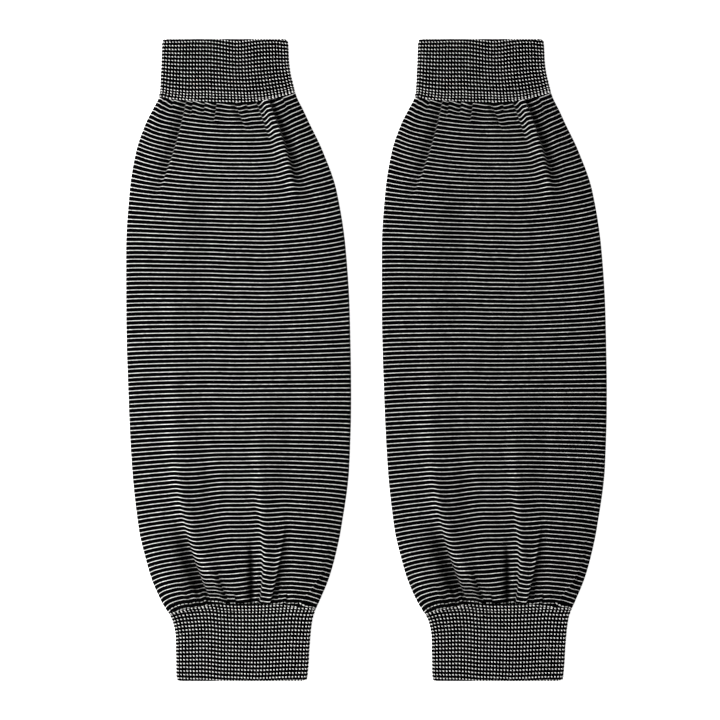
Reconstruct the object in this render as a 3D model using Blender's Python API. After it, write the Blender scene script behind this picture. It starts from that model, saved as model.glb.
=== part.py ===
"""Pair of striped knitted tube sleeves, laid flat side by side.

Each sleeve is a wide jersey tube gathered at both ends into a doubled rib cuff. It lies flat, so its
front layer rests on its back layer. Metres, +Z up. The sleeves lie on z = 0 with their length along Y
and the upper cuffs towards +Y, and the origin is at the middle of the pair.

A place on a sleeve is given by "down", the distance from the upper rim, and "across", the distance to
the right of the sleeve's own centre line.
"""
from collections import namedtuple
from math import cos, exp, pi, sin

import bmesh
import bpy

SLEEVE_LENGTH = 0.420
SLEEVE_SPACING = 0.1675
SEAM_GAP = 0.0003

UPPER_SEAM = 0.0412
LOWER_SEAM = 0.3692

BODY_WALL = 0.0014
GATHERED_WALL = 0.0021
CUFF_WALL = 0.0021
CUFF_THICKNESS = 0.0047
CUFF_CROWN = 0.0003
RIM_ROUNDING = 0.0010
LARGEST_HEIGHT = 0.0066

FRONT_RIBS = 39
EDGE_RIBS = 2
RIB_HEIGHT = 0.0005
RIB_FLANKS = (0.28, 0.72)

BODY_FRONT_POINTS = 58
LINING_FRONT_POINTS = 14
UNDERSIDE_POINTS = 8
SHARE_TOLERANCE = 1e-6
SHARP_ANGLE = pi / 5

# The sleeve's outline: how far its two edges stand from the centre line, at a distance down.
Outline = namedtuple("Outline", "down left right")
OUTLINE = [
    Outline(0.000, 0.0497, 0.0321),
    Outline(0.017, 0.0503, 0.0329),
    Outline(0.033, 0.0511, 0.0367),
    Outline(0.038, 0.0520, 0.0382),
    Outline(0.046, 0.0560, 0.0422),
    Outline(0.055, 0.0606, 0.0464),
    Outline(0.073, 0.0668, 0.0550),
    Outline(0.099, 0.0711, 0.0640),
    Outline(0.138, 0.0735, 0.0701),
    Outline(0.180, 0.0734, 0.0727),
    Outline(0.235, 0.0719, 0.0736),
    Outline(0.279, 0.0697, 0.0724),
    Outline(0.321, 0.0651, 0.0669),
    Outline(0.340, 0.0607, 0.0628),
    Outline(0.353, 0.0569, 0.0589),
    Outline(0.368, 0.0498, 0.0525),
    Outline(0.375, 0.0452, 0.0495),
    Outline(0.381, 0.0424, 0.0480),
    Outline(0.392, 0.0407, 0.0468),
    Outline(0.420, 0.0402, 0.0449),
]

# How far a knitted course climbs towards the upper rim between the centre line and each edge.
Course = namedtuple("Course", "down left_climb right_climb")
COURSES = [
    Course(0.000, 0.0000, 0.0000),
    Course(0.020, 0.0003, 0.0024),
    Course(0.041, 0.0026, 0.0085),
    Course(0.056, 0.0085, 0.0092),
    Course(0.078, 0.0092, 0.0088),
    Course(0.099, 0.0054, 0.0071),
    Course(0.142, 0.0016, 0.0045),
    Course(0.187, 0.0000, 0.0021),
    Course(0.253, -0.0022, -0.0005),
    Course(0.320, -0.0058, -0.0037),
    Course(0.369, -0.0070, -0.0038),
    Course(0.392, -0.0016, -0.0008),
    Course(0.420, 0.0000, 0.0000),
]

# How thick the body lies: both layers at its edges, the rise in its middle, and one layer's wall.
Loft = namedtuple("Loft", "down edge crown wall")
LOFTS = [
    Loft(0.041, CUFF_THICKNESS, 0.0004, GATHERED_WALL),
    Loft(0.049, 0.0041, 0.0014, 0.0016),
    Loft(0.068, 0.0036, 0.0020, BODY_WALL),
    Loft(0.110, 0.0033, 0.0011, BODY_WALL),
    Loft(0.180, 0.0033, 0.0006, BODY_WALL),
    Loft(0.270, 0.0033, 0.0008, BODY_WALL),
    Loft(0.325, 0.0036, 0.0020, BODY_WALL),
    Loft(0.350, 0.0038, 0.0020, BODY_WALL),
    Loft(0.362, 0.0043, 0.0012, 0.0017),
    Loft(0.369, CUFF_THICKNESS, 0.0004, GATHERED_WALL),
]
BODY_RINGS = [0.046, 0.052, 0.059, 0.067, 0.078, 0.092, 0.110, 0.137, 0.175, 0.215,
              0.255, 0.286, 0.308, 0.325, 0.338, 0.349, 0.357, 0.363]
CUFF_RING_SHARES = (0.0, 0.45, 0.80, 1.0)

# The long folds, each along a bend through three places, from the seam it starts at to where it fades.
# A positive rise is a ridge and a negative one a trough.
Fold = namedtuple("Fold", "down across mid_down mid_across end_down end_across width rise")
FOLDS = [
    Fold(0.041, -0.0362, 0.073, -0.0435, 0.106, -0.0540, 0.0033, -0.0016),
    Fold(0.041, -0.0300, 0.073, -0.0360, 0.106, -0.0460, 0.0050, 0.0010),
    Fold(0.043, -0.0023, 0.061, 0.0062, 0.082, 0.0160, 0.0040, 0.0008),
    Fold(0.041, 0.0105, 0.058, 0.0157, 0.077, 0.0210, 0.0030, -0.0012),
    Fold(0.041, 0.0150, 0.065, 0.0206, 0.094, 0.0255, 0.0035, 0.0013),
    Fold(0.041, 0.0186, 0.079, 0.0380, 0.128, 0.0490, 0.0035, -0.0020),
    Fold(0.041, 0.0270, 0.079, 0.0460, 0.120, 0.0550, 0.0045, 0.0010),
    Fold(0.041, 0.0340, 0.052, 0.0390, 0.066, 0.0480, 0.0030, 0.0009),
    Fold(0.369, -0.0130, 0.339, -0.0265, 0.290, -0.0370, 0.0045, 0.0014),
    Fold(0.369, -0.0195, 0.341, -0.0330, 0.308, -0.0500, 0.0040, -0.0018),
    Fold(0.369, -0.0340, 0.344, -0.0478, 0.320, -0.0555, 0.0045, 0.0011),
    Fold(0.369, -0.0400, 0.358, -0.0475, 0.344, -0.0530, 0.0030, -0.0009),
    Fold(0.369, -0.0069, 0.353, -0.0078, 0.336, -0.0090, 0.0028, -0.0010),
    Fold(0.369, 0.0082, 0.339, 0.0082, 0.300, 0.0060, 0.0030, -0.0019),
    Fold(0.369, 0.0167, 0.347, 0.0178, 0.270, 0.0110, 0.0042, 0.0012),
    Fold(0.369, 0.0271, 0.343, 0.0317, 0.296, 0.0383, 0.0034, -0.0016),
    Fold(0.369, 0.0430, 0.355, 0.0500, 0.330, 0.0570, 0.0045, 0.0011),
]

# The short gathers that stand along each seam: where, how far they reach from it, and how high.
Gather = namedtuple("Gather", "across reach rise")
UPPER_GATHERS = [
    Gather(-0.0440, 0.014, -0.0006), Gather(-0.0390, 0.012, 0.0006), Gather(-0.0250, 0.010, 0.0006),
    Gather(-0.0208, 0.012, -0.0008), Gather(-0.0143, 0.018, 0.0009), Gather(-0.0085, 0.011, -0.0006),
    Gather(0.0000, 0.013, -0.0007), Gather(0.0050, 0.010, 0.0006), Gather(0.0230, 0.011, 0.0005),
    Gather(0.0312, 0.012, -0.0008),
]
LOWER_GATHERS = [
    Gather(-0.0300, 0.013, 0.0006), Gather(-0.0262, 0.014, -0.0007), Gather(-0.0170, 0.010, -0.0005),
    Gather(-0.0020, 0.012, 0.0007), Gather(0.0030, 0.010, 0.0005), Gather(0.0128, 0.012, -0.0008),
    Gather(0.0215, 0.011, -0.0005), Gather(0.0245, 0.016, 0.0007), Gather(0.0350, 0.011, 0.0006),
    Gather(0.0385, 0.012, -0.0006), Gather(0.0460, 0.010, -0.0005),
]
GATHER_WIDTH = 0.0021

Finish = namedtuple("Finish", "colour roughness")
FINISHES = {
    "body": Finish((0.062, 0.061, 0.060), 0.92),
    "upper_cuff": Finish((0.058, 0.057, 0.057), 0.94),
    "lower_cuff": Finish((0.059, 0.058, 0.058), 0.94),
}

# A ring's points are numbered by turn, from 0 at its left edge to 1 back there. Each quarter of an edge
# fold takes EDGE_TURN of it, and each layer LAYER_TURN.
RingPoint = namedtuple("RingPoint", "turn across down height")
EDGE_TURN = 0.04
LAYER_TURN = 0.5 - 2 * EDGE_TURN
PLAIN_EDGE = ((0.0, 0.0), (0.5, 0.0))
SIDES = {"left": -1, "right": 1}


def clear_scene():
    for thing in list(bpy.data.objects):
        bpy.data.objects.remove(thing)


def read_smooth(table, column, down):
    """The value of a column at a distance down, on a smooth curve through the table's rows."""
    last = len(table) - 1
    down = min(max(down, table[0].down), table[last].down)
    row = 0
    while row < last - 1 and table[row + 1].down < down:
        row += 1
    span = table[row + 1].down - table[row].down
    part = (down - table[row].down) / span
    start = getattr(table[row], column)
    end = getattr(table[row + 1], column)
    leave = slope_at(table, column, row) * span
    arrive = slope_at(table, column, row + 1) * span
    return (start * (1 + 2 * part) * (1 - part) ** 2 + leave * part * (1 - part) ** 2
            + end * part ** 2 * (3 - 2 * part) - arrive * part ** 2 * (1 - part))


def slope_at(table, column, row):
    """A column's slope at a row, kept from overshooting where the column turns."""
    if row == 0 or row == len(table) - 1:
        return 0.0
    before = table[row].down - table[row - 1].down
    after = table[row + 1].down - table[row].down
    rise_before = (getattr(table[row], column) - getattr(table[row - 1], column)) / before
    rise_after = (getattr(table[row + 1], column) - getattr(table[row], column)) / after
    if rise_before * rise_after <= 0:
        return 0.0
    return 2 * rise_before * rise_after / (rise_before + rise_after)


def fade(part):
    """One at part 0 and before it, falling smoothly to nothing at part 1."""
    part = min(max(part, 0.0), 1.0)
    return 1 - part * part * (3 - 2 * part)


def bump(distance, width):
    return exp(-(distance / width) ** 2)


def fold_line(fold, down):
    """Where a fold runs at a distance down: the parabola through its three places."""
    rows = ((fold.down, fold.across), (fold.mid_down, fold.mid_across), (fold.end_down, fold.end_across))
    across = 0.0
    for place, value in rows:
        for other, _ in rows:
            if other != place:
                value *= (down - other) / (place - other)
        across += value
    return across


def fold_rise(across, down):
    """The height that all folds and gathers add at one place."""
    rise = 0.0
    for fold in FOLDS:
        part = (down - fold.down) / (fold.end_down - fold.down)
        if part < 1:
            line = fold_line(fold, down)
            rise += fold.rise * bump(across - line, fold.width) * fade(part)
    for gathers, seam in ((UPPER_GATHERS, UPPER_SEAM), (LOWER_GATHERS, LOWER_SEAM)):
        for gather in gathers:
            part = abs(down - seam) / gather.reach
            rise += gather.rise * bump(across - gather.across, GATHER_WIDTH) * fade(part)
    return rise


def course_down(middle_down, across, left, right):
    """Where a course that crosses the centre line at middle_down lies, at a place across."""
    if across < 0:
        climb = read_smooth(COURSES, "left_climb", middle_down)
        return middle_down - climb * (across / left) ** 2
    climb = read_smooth(COURSES, "right_climb", middle_down)
    return middle_down - climb * (across / right) ** 2


def edges_of_course(middle_down):
    """A course's half widths, read from the outline at the height where it meets each edge."""
    left_down = middle_down - read_smooth(COURSES, "left_climb", middle_down)
    right_down = middle_down - read_smooth(COURSES, "right_climb", middle_down)
    return read_smooth(OUTLINE, "left", left_down), read_smooth(OUTLINE, "right", right_down)


def make_ring(middle_down, inset, thickness, front, edge):
    """One closed ring of the flat tube, inset below its outer face.

    It starts at the left edge, runs over the front layer, round the right edge and back below.
    front holds the front layer's points, as a share of the width and a function for the outer height.
    edge holds the upper points of the round fold at each side, as a climb from the side, where 1 is the
    top, and how deep each lies below the fold's outer face.
    """
    left, right = edges_of_course(middle_down)
    half = thickness / 2
    first = -left + half
    width = left + right - thickness
    last = first + width
    lower_corner = (half - inset) * cos(pi / 4)
    points = []
    for climb, depth in edge:
        radius = half - inset - depth
        angle = climb * pi / 2
        points.append((EDGE_TURN * climb, first - radius * cos(angle), half + radius * sin(angle)))
    shares, outer_height = front
    for share in shares:
        across = first + width * share
        turn = EDGE_TURN + LAYER_TURN * share
        points.append((turn, across, outer_height(share, across) - inset))
    for climb, depth in reversed(edge):
        radius = half - inset - depth
        angle = climb * pi / 2
        points.append((0.5 - EDGE_TURN * climb, last + radius * cos(angle), half + radius * sin(angle)))
    points.append((0.5 + EDGE_TURN / 2, last + lower_corner, half - lower_corner))
    for share in even_shares(UNDERSIDE_POINTS):
        turn = 0.5 + EDGE_TURN + LAYER_TURN * share
        points.append((turn, first + width * (1 - share), inset))
    points.append((1 - EDGE_TURN / 2, first - lower_corner, half - lower_corner))
    ring = []
    for turn, across, height in points:
        down = course_down(middle_down, across, left, right)
        ring.append(RingPoint(turn, across, down, height))
    return ring


def even_shares(count):
    return [step / (count - 1) for step in range(count)]


def rib_shares(count):
    """Shares of a length at each rib's furrow and its two flanks."""
    shares = []
    for rib in range(count):
        shares.append(rib / count)
        shares += [(rib + flank) / count for flank in RIB_FLANKS]
    return shares


def furrow_depth(share, count):
    """How deep the ribbed face lies at a share: a furrow between ribs, and nothing on a rib."""
    in_rib = share * count % 1
    on_rib = RIB_FLANKS[0] - SHARE_TOLERANCE < in_rib < RIB_FLANKS[1] + SHARE_TOLERANCE
    return 0.0 if on_rib else RIB_HEIGHT


def dome(share):
    """A rise that is nothing at both edges and one over most of the width."""
    return 1 - (2 * share - 1) ** 6


def add_ring(shell, ring):
    verts = []
    for point in ring:
        verts.append(shell.verts.new((point.across, SLEEVE_LENGTH / 2 - point.down, point.height)))
    return [point.turn for point in ring], verts


def stitch(shell, near, far):
    """Faces between two closed rings, which may have unlike numbers of points."""
    near_turns, near_verts = near
    far_turns, far_verts = far
    near_ends = near_turns[1:] + [1.0]
    far_ends = far_turns[1:] + [1.0]
    step_near, step_far = 0, 0
    while step_near < len(near_verts) or step_far < len(far_verts):
        near_end = near_ends[step_near] if step_near < len(near_verts) else 2.0
        far_end = far_ends[step_far] if step_far < len(far_verts) else 2.0
        near_now = near_verts[step_near % len(near_verts)]
        far_now = far_verts[step_far % len(far_verts)]
        near_next = near_verts[(step_near + 1) % len(near_verts)]
        far_next = far_verts[(step_far + 1) % len(far_verts)]
        if abs(near_end - far_end) < SHARE_TOLERANCE:
            shell.faces.new((near_now, near_next, far_next, far_now))
            step_near += 1
            step_far += 1
        elif near_end < far_end:
            shell.faces.new((near_now, near_next, far_now))
            step_near += 1
        else:
            shell.faces.new((near_now, far_next, far_now))
            step_far += 1


def loft_tube(name, outer_rings, inner_rings, rim_ring=None):
    """A tube from its outer and inner rings, given in the same order, and a round rim before the first."""
    shell = bmesh.new()
    outer = [add_ring(shell, ring) for ring in outer_rings]
    inner = [add_ring(shell, ring) for ring in inner_rings]
    for row in range(len(outer) - 1):
        stitch(shell, outer[row], outer[row + 1])
        stitch(shell, inner[row], inner[row + 1])
    stitch(shell, outer[-1], inner[-1])
    if rim_ring:
        rim = add_ring(shell, rim_ring)
        stitch(shell, outer[0], rim)
        stitch(shell, rim, inner[0])
    else:
        stitch(shell, outer[0], inner[0])
    bmesh.ops.recalc_face_normals(shell, faces=shell.faces)
    mesh = bpy.data.meshes.new(name)
    shell.to_mesh(mesh)
    shell.free()
    return mesh


def make_body_mesh():
    """The gathered jersey tube: every point of its wall carries the folds."""
    stations = [UPPER_SEAM + SEAM_GAP / 2] + BODY_RINGS + [LOWER_SEAM - SEAM_GAP / 2]
    shares = even_shares(BODY_FRONT_POINTS)
    outer, inner = [], []
    for station in stations:
        edge = read_smooth(LOFTS, "edge", station)
        crown = read_smooth(LOFTS, "crown", station)
        wall = read_smooth(LOFTS, "wall", station)
        left, right = edges_of_course(station)

        def height(share, across):
            down = course_down(station, across, left, right)
            swell = (crown + fold_rise(across, down)) * dome(share)
            return min(edge + max(swell, 0.0), LARGEST_HEIGHT)

        outer.append(make_ring(station, 0.0, edge, (shares, height), PLAIN_EDGE))
        inner.append(make_ring(station, wall, edge, (shares, height), PLAIN_EDGE))
    return loft_tube("body_tube", outer, inner)


def make_cuff_mesh(name, rim_down, seam_down):
    """A doubled rib tube: ribs stand on its front and round its edges, and its rim is a round fold."""
    towards_seam = 1 if seam_down > rim_down else -1
    first = rim_down + towards_seam * RIM_ROUNDING
    last = seam_down - towards_seam * SEAM_GAP / 2
    stations = [first + (last - first) * share for share in CUFF_RING_SHARES]

    def plain(share, _):
        return CUFF_THICKNESS + CUFF_CROWN * dome(share)

    def ribbed(share, across):
        return plain(share, across) - furrow_depth(share, FRONT_RIBS)

    lining = (even_shares(LINING_FRONT_POINTS), plain)
    front_shares = rib_shares(FRONT_RIBS) + [1.0]
    edge_shares = rib_shares(EDGE_RIBS)
    ribbed_edge = [(share, furrow_depth(share, EDGE_RIBS)) for share in edge_shares]
    smooth_edge = [(share, 0.0) for share in edge_shares]
    outer, inner = [], []
    for down in stations:
        outer.append(make_ring(down, 0.0, CUFF_THICKNESS, (front_shares, ribbed), ribbed_edge))
        inner.append(make_ring(down, CUFF_WALL, CUFF_THICKNESS, lining, PLAIN_EDGE))
    rim = make_ring(rim_down, CUFF_WALL / 2, CUFF_THICKNESS, (front_shares, plain), smooth_edge)
    return loft_tube(name, outer, inner, rim)


def make_finish(name, finish):
    material = bpy.data.materials.new(name)
    material.use_nodes = True
    shader = material.node_tree.nodes["Principled BSDF"]
    shader.inputs["Base Color"].default_value = (*finish.colour, 1.0)
    shader.inputs["Roughness"].default_value = finish.roughness
    shader.inputs["Metallic"].default_value = 0.0
    return material


def place_sleeve(side, meshes, collection):
    """An empty on the sleeve's centre line, with the sleeve's three pieces on it."""
    centre = bpy.data.objects.new(side + "_sleeve", None)
    centre.location.x = SIDES[side] * SLEEVE_SPACING / 2
    collection.objects.link(centre)
    for piece, mesh in meshes.items():
        solid = bpy.data.objects.new(side + "_" + piece, mesh)
        solid.parent = centre
        collection.objects.link(solid)


def main():
    clear_scene()
    collection = bpy.data.collections.new("striped_knit_sleeves")
    bpy.context.scene.collection.children.link(collection)
    meshes = {
        "body": make_body_mesh(),
        "upper_cuff": make_cuff_mesh("upper_rib_cuff", 0.0, UPPER_SEAM),
        "lower_cuff": make_cuff_mesh("lower_rib_cuff", SLEEVE_LENGTH, LOWER_SEAM),
    }
    for piece, mesh in meshes.items():
        mesh.materials.append(make_finish(piece + "_knit", FINISHES[piece]))
        mesh.shade_smooth()
        mesh.set_sharp_from_angle(angle=SHARP_ANGLE)
    for side in SIDES:
        place_sleeve(side, meshes, collection)


main()
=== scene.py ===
from math import pi

import bpy
import numpy as np
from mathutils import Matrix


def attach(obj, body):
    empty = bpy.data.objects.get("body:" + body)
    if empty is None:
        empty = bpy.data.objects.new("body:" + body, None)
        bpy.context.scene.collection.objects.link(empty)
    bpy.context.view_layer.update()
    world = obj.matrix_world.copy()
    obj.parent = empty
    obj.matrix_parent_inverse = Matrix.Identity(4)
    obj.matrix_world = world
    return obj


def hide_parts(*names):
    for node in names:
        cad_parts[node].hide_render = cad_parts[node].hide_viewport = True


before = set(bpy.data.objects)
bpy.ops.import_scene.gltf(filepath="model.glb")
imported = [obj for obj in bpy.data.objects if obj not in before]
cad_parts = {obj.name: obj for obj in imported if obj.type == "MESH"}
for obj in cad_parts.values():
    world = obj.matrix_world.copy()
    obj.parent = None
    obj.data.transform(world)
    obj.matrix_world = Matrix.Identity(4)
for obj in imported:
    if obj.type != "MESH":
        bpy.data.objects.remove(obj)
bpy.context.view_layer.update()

mm = 0.001


def makeTable(columns, *rows):
    # a table of millimetres as one array of metres for each named column
    values = np.array(rows, dtype=float).T * mm
    return dict(zip(columns.split(), values))


def rowsOf(rows):
    # a table's rows, each as a dictionary
    return [dict(zip(rows, values)) for values in zip(*rows.values())]


def readSmooth(rows, column, place):
    # The column on a curve through the rows, which doesn't overshoot where it turns. The first
    # column says where each row holds.
    places, values = next(iter(rows.values())), rows[column]
    spans = np.diff(places)
    rises = np.diff(values) / spans
    slopes = np.zeros(len(places))
    for i in range(1, len(places) - 1):
        if rises[i - 1] * rises[i] > 0:
            slopes[i] = 2 * rises[i - 1] * rises[i] / (rises[i - 1] + rises[i])
    place = np.clip(place, places[0], places[-1])
    i = np.clip(np.searchsorted(places, place, side="right") - 1, 0, len(spans) - 1)
    part = (place - places[i]) / spans[i]
    rest = 1 - part
    start = values[i] * (1 + 2 * part) + slopes[i] * spans[i] * part
    end = values[i + 1] * (3 - 2 * part) - slopes[i + 1] * spans[i] * rest
    return start * rest**2 + end * part**2


def fadeOut(part):
    part = np.clip(part, 0, 1)
    return 1 - part * part * (3 - 2 * part)


def bell(distance, width):
    return np.exp(-((distance / width) ** 2))


# The pair. "down" is the distance from a sleeve's upper rim, "across" the distance to the right of
# its centre line.
pair = {
    "spacing": 0.1675,
    "length": 0.420,
    "upperSeam": 0.0412,
    "lowerSeam": 0.3692,
    "seamGap": 0.0003,
    "sides": {"left": -1, "right": 1},
    "domePower": 6,  # how flat the cloth lies before it falls off to its edges
    "rounds": 6,  # steps that follow a course back to the centre line
}


def middleOf(side):
    # where a sleeve's centre line is
    return pair["sides"][side] * pair["spacing"] / 2


# how far the two edges stand from the centre line
outline = makeTable(
    "down left right",
    (0, 48.3, 31.0), (1.0, 49.2, 32.1), (2.4, 49.7, 32.7), (17, 50.3, 33.6), (33, 51.1, 37.0),
    (38, 52.0, 38.6), (46, 56.0, 42.6), (55, 60.6, 46.8), (73, 66.8, 55.4), (99, 71.1, 64.5),
    (138, 73.5, 70.6), (180, 73.4, 73.2), (235, 71.9, 74.1), (279, 69.7, 72.9), (321, 65.1, 67.4),
    (340, 60.7, 63.3), (353, 56.9, 59.5), (368, 50.4, 53.3), (375, 46.2, 50.2), (381, 42.8, 48.6),
    (392, 40.8, 47.3), (417.6, 40.4, 45.4), (419.0, 39.9, 44.8), (420, 39.0, 43.7),
)

# how far the knitted courses climb from the centre line to each edge
courses = makeTable(
    "down left right",
    (0, 0, 0), (20, 0.3, 2.4), (41, 3.0, 6.5), (56, 8.5, 9.2), (78, 9.2, 8.8), (99, 5.4, 7.1),
    (142, 1.6, 4.5), (187, 0, 2.1), (253, -2.2, -0.5), (320, -5.8, -3.7), (369, -7.0, -3.8),
    (392, -1.6, -0.8), (420, 0, 0),
)

# how far the body's stripes climb, which go on under the upper seam that cuts them off
stripeCourses = makeTable(
    "down left right",
    (0, 8.0, 8.2), (41, 7.8, 8.2), (56, 7.4, 8.3), (78, 8.1, 8.8), (99, 5.2, 7.6), (142, 1.5, 5.3),
    (187, -0.5, 2.7), (253, -2.3, -0.6), (320, -5.8, -3.7), (369, -6.2, -3.4), (420, 0, 0),
)

# which stripe lies where on the centre line: the number is in thousandths like the lengths
stripes = makeTable(
    "down number",
    (35.4, 1), (42.2, 3), (55.3, 8), (77.0, 16), (97.7, 24), (119.5, 32), (163.4, 48), (207.9, 64),
    (252.6, 80), (296.8, 96), (319.1, 104), (341.9, 112), (365.0, 120), (370.8, 122), (376.6, 124),
)

# how much higher the stripes lie on the shoulders beside the middle, where the gathers leave the
# cloth slack
shoulders = makeTable(
    "down left right",
    (41, 0, 0), (58, 0, -0.7), (80, 0, -0.6), (104, 0, -0.7), (122, 0.4, -0.75), (140, 0.65, -0.8),
    (160, 0.55, -0.65), (180, 0.45, -0.4), (200, 0.35, -0.05), (230, 0.3, 0.15), (255, 0.05, 0.4),
    (280, 0, 0.5), (300, 0.1, 0.7), (315, 0.3, 0.8), (324, 0.6, 0.8), (342, 1.4, 1.0),
    (351, 2.0, 1.4), (369, 3.0, 2.0),
)
shoulder = {"middle": 13 * mm, "edgePower": 10}

# how thick the body lies: both layers at its edges, and the rise in its middle
lofts = makeTable(
    "down edge crown",
    (41, 4.7, 0.4), (49, 4.1, 1.4), (68, 3.6, 2.0), (110, 3.3, 1.1), (180, 3.3, 0.6),
    (270, 3.3, 0.8), (325, 3.6, 2.0), (350, 3.8, 2.0), (362, 4.3, 1.2), (369, 4.7, 0.4),
)

# The folds and gathers, each a crease on a bend through three places, from its seam to where it
# fades. On each side of it the cloth stands up by the rise, fading out over the width, and the
# stripes lie lower by the drop, fading out over the reach. soft is how wide the crease has grown
# where it ends, lag how slowly the stripes pass over, in a hook on its right or, if below 0, on its
# left, and grow how far from the seam they have their full drop. Two creases have two rows each,
# which start at one place.
folds = makeTable(
    "down across midDown midAcross endDown endAcross soft lag grow "
    "leftWide leftRise leftReach leftDrop rightWide rightRise rightReach rightDrop",
    (41, -33.9, 72, -41.7, 110, -56.5, 1.2, 0, 0, 7.0, -1.3, 60, 1.8, 6.0, 0.7, 14, -0.1),
    (41, 20.7, 71, 31.6, 112, 40.9, 5.0, 0, 0, 7.0, 1.7, 11.5, -1.6, 8.0, -1.3, 13, 1.4),
    (42, 12.3, 52, 16.1, 72, 21.5, 1.0, 0, 0, 4.0, -0.8, 4, 0, 4.0, 0.3, 5.5, 1.5),
    (42, -1.9, 50, 1.3, 63, 6.8, 0.8, 0, 0, 4.0, -1.2, 5, -0.1, 3.5, 0.6, 7, 0.8),
    (40, -13.7, 46, -14.4, 57, -16.2, 0.6, 0, 0, 3.5, -1.1, 8, 0.6, 3.5, 1.0, 9, -0.6),
    (40, -47.8, 45, -49.5, 52, -52.0, 0.8, 0, 0, 4.0, -0.5, 7, 0.6, 3.5, 0.5, 6, -0.5),
    (40, -41.8, 43, -42.7, 48, -44.0, 0.8, 0, 0, 3.5, -0.5, 6, 0.5, 3.5, 0.4, 6, -0.5),
    (40, -29.4, 44, -29.8, 53, -30.6, 0.8, 0, 0, 3.0, -0.9, 5, 0.4, 3.0, 0.6, 5, -0.4),
    (40, -21.2, 44, -21.8, 52, -22.5, 0.8, 0, 0, 3.5, -0.9, 6, 0.4, 3.5, 0.7, 6, -0.4),
    (40, 5.6, 44, 6.0, 51, 6.9, 0.8, 0, 0, 3.0, -0.8, 5, -0.3, 3.0, 0.6, 5, 0.5),
    (38, 29.0, 43, 31.0, 50, 33.0, 0.8, 0, 0, 3.5, -0.6, 5, 0.3, 3.5, 0.4, 5, -0.4),
    (37, 36.8, 43, 38.5, 50, 42.0, 0.8, 0, 0, 3.5, 0.8, 5, -0.5, 3.0, -0.5, 5, -0.4),
    (46, -47.0, 58, -53.5, 76, -57.5, 1.5, 0, 0, 5.0, -0.6, 8, 0.6, 4.0, -0.3, 8, 0.5),
    (369, -16.8, 346, -26.5, 312, -36.5, 1.0, 0, 0, 12.0, -1.2, 5, 0, 5.5, 0.8, 5, 0),
    (369, -16.8, 338, -29.3, 255, -41.5, 1.0, 3.0, 16, 5.0, 0, 8, -0.3, 5.0, 0, 31, 2.5),
    (369, -30.5, 364, -33.0, 352, -38.0, 0.8, 0, 0, 3.5, -0.9, 4, 0.7, 3.5, 0.5, 4, 0.4),
    (369, -24.6, 363, -26.1, 354, -27.5, 0.8, 0, 0, 3.0, -1.0, 4, 0.6, 3.0, 0.4, 4, 0.6),
    (369, -20.0, 366, -20.8, 360, -22.0, 0.8, 0, 0, 2.5, 0.3, 4, -0.3, 2.5, -0.4, 4, 0.2),
    (369, -5.7, 358, -10.6, 344, -14.0, 0.6, 0, 0, 3.0, -1.0, 5, 0.9, 3.5, -0.7, 4, 0),
    (369, -1.4, 366, -1.7, 361, -2.0, 0.8, 0, 0, 3.0, 0.3, 4, -0.4, 3.0, -0.4, 5, 0.4),
    (369, 8.2, 340, 8.0, 324, 7.6, 1.0, 0, 0, 2.5, -0.9, 3, 0, 4.5, -2.1, 5, 0),
    (369, 14.0, 347, 15.7, 280, 5.0, 1.0, 1.5, 0, 3.0, -0.3, 6, -0.2, 8.0, -0.3, 21, 2.0),
    (368, 21.6, 348, 26.5, 312, 31.5, 0.8, -2.2, 0, 4.0, 0.8, 9, 1.2, 6.0, -0.8, 8, -0.2),
    (368, 26.2, 360, 26.9, 350, 27.6, 0.6, 0, 0, 2.5, -0.8, 3, 0.3, 2.5, -0.3, 3, -0.2),
    (369, 31.4, 366, 31.7, 360, 32.0, 0.8, 0, 0, 3.0, 0.3, 4, -0.4, 3.0, -0.5, 5, 0.4),
    (366, 42.5, 353, 52.2, 320, 58.0, 1.2, 10.0, 8, 7.0, -1.0, 7, 0, 5.0, 0.6, 30, 2.9),
    (366, 42.5, 353, 52.2, 320, 58.0, 0.5, 0, 3, 3.0, 0, 7, 0, 3.0, 0, 9, -1.3),
)

# The long soft ridges and troughs beside the folds, each along a bend from where it starts to where
# it fades.
bends = makeTable(
    "down across midDown midAcross endDown endAcross wide rise",
    (366, -9.8, 310, -33.5, 205, -43.8, 4.0, 1.4),
    (330, -34.0, 250, -41.0, 130, -44.5, 4.5, 0.9),
    (366, -25.0, 342, -34.5, 300, -46.0, 5.0, -1.7),
    (366, -42.0, 344, -52.7, 310, -63.0, 3.5, 1.3),
    (345, -14.0, 290, -22.0, 195, -24.0, 7.0, -0.8),
    (369, -7.0, 352, -10.0, 325, -13.0, 3.0, -0.8),
    (369, 7.8, 340, 8.3, 312, 8.5, 2.5, -1.0),
    (369, 20.5, 330, 17.5, 220, 9.5, 3.8, 1.5),
    (369, 28.0, 335, 32.0, 285, 34.0, 4.0, -0.8),
    (366, 45.5, 345, 54.5, 310, 61.0, 3.5, 1.6),
    (305, 27.0, 250, 31.0, 185, 32.0, 8.0, -0.7),
    (42, 14.0, 75, 28.5, 128, 38.0, 3.8, 1.1),
    (41, 27.0, 85, 41.0, 150, 52.0, 4.5, -0.9),
    (41, -39.5, 70, -46.0, 115, -58.5, 4.0, -0.7),
    (41, -52.0, 70, -58.0, 105, -66.0, 3.5, 0.6),
    (85, -26.0, 150, -27.0, 240, -28.0, 9.0, -0.8),
    (41, -8.0, 70, -6.0, 105, -3.0, 4.0, -0.5),
)

# slow swells of the cloth: wavelengths along and across, height, and phase in thousandths of a turn
swells = makeTable(
    "long wide height phase",
    (61, 47, 0.16, 100), (43, -71, 0.13, 630), (-29, 34, 0.10, 270), (23, 19, 0.06, 810),
    (-17, 27, 0.06, 450), (90, 12, 0.07, 20), (-75, 9.5, 0.05, 700),
)


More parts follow.
